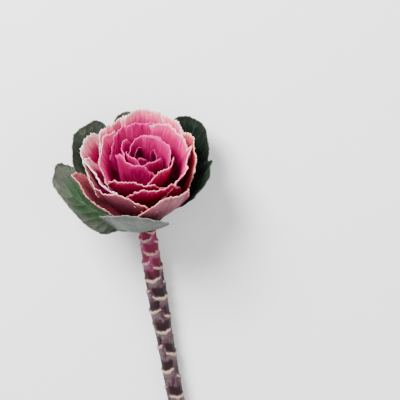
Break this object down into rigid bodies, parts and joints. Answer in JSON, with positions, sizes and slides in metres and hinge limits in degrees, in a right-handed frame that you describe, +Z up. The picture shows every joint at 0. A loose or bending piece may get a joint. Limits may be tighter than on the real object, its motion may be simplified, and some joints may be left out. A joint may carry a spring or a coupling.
{
  "type": "flowering kale stem",
  "caption": "Cut flowering kale lying on its side: a ruffled pink rosette in a cup of broad green outer leaves, on a bare purple stem marked with pale leaf scars.",
  "frame": {"origin": "centre of the bounding box's underside, on the surface the stem lies on", "axes": "+Z up; the stem lies along Y with its cut end towards -Y and its head towards +Y, facing forwards and up; +X is the head's right as seen from the stem's side"},
  "size_m": [0.1125, 0.3208, 0.0874],
  "materials": {
    "outer_leaf": "satin",
    "rosette": "satin",
    "stem": "satin"
  },
  "bodies": {
    "root": {"outer_leaf_1": "outer_leaf", "outer_leaf_2": "outer_leaf", "outer_leaf_3": "outer_leaf", "outer_leaf_4": "outer_leaf", "outer_leaf_5": "outer_leaf", "outer_leaf_6": "outer_leaf", "rosette": "rosette", "stem": "stem"}
  },
  "joints": []
}
